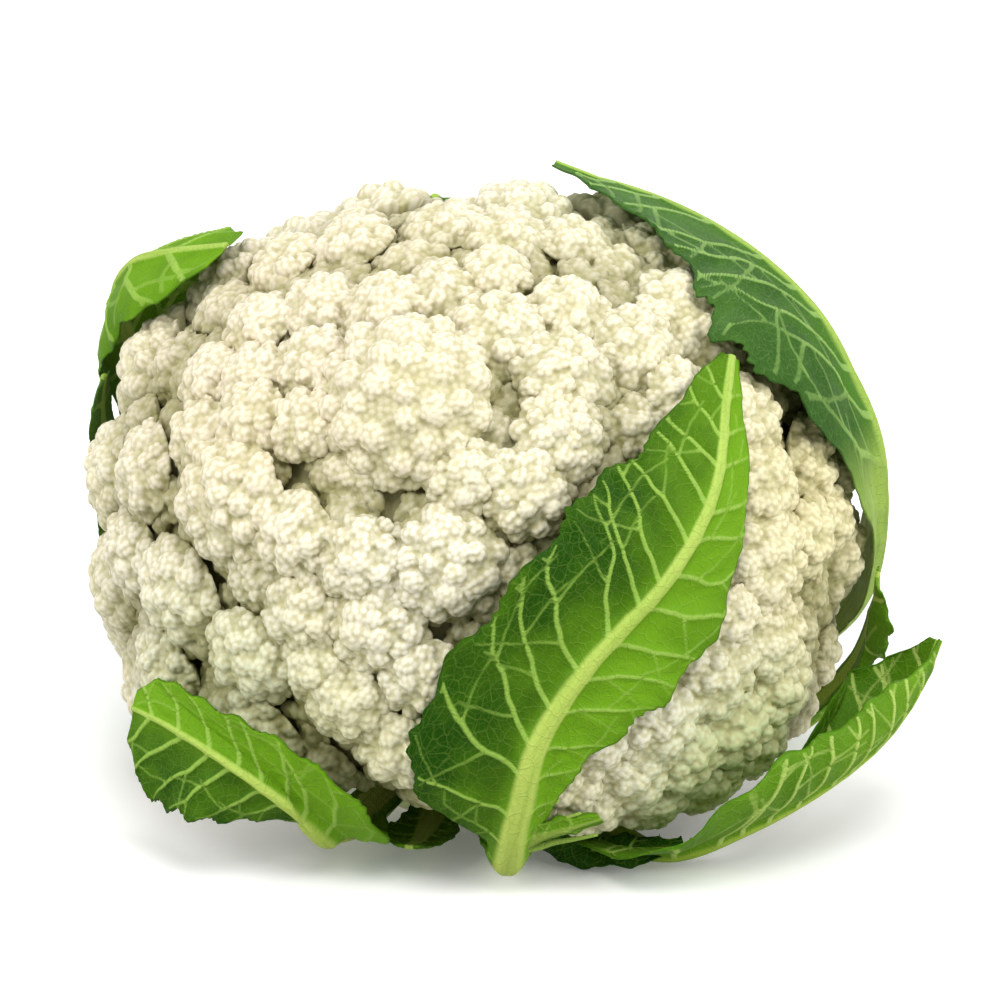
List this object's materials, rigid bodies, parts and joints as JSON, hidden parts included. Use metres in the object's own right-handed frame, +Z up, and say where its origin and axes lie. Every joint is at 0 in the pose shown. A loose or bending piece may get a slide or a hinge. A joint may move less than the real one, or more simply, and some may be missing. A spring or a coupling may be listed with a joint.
{
  "type": "cauliflower",
  "caption": "Whole cauliflower: a domed curd of florets on a short cut stalk, wrapped in waved green leaves that rise from its foot.",
  "frame": {"origin": "centre of the stalk's cut face, on the surface that the head stands on", "axes": "+Z up, -Y towards the front that the picture shows, +X to the right of that front"},
  "size_m": [0.188, 0.1723, 0.1364],
  "materials": {
    "curd": "matt, grainy, slightly translucent plant tissue",
    "stalk": "matt, moist cut face",
    "leaf_green": "waxy satin leaf with pale raised veins",
    "leaf_blue_green": "waxy satin leaf with a blue bloom and pale raised veins",
    "leaf_pale": "waxy satin leaf with pale raised veins"
  },
  "bodies": {
    "root": {"curd": "curd", "stalk": "stalk", "leaf_front": "leaf_green", "leaf_right": "leaf_blue_green", "leaf_lower_right": "leaf_pale", "leaf_lower_left": "leaf_green", "leaf_upper_left": "leaf_green", "leaf_left_low": "leaf_blue_green", "leaf_right_low": "leaf_pale", "leaf_under": "leaf_green", "leaf_back_left": "leaf_blue_green", "leaf_back_right": "leaf_blue_green"}
  },
  "joints": []
}
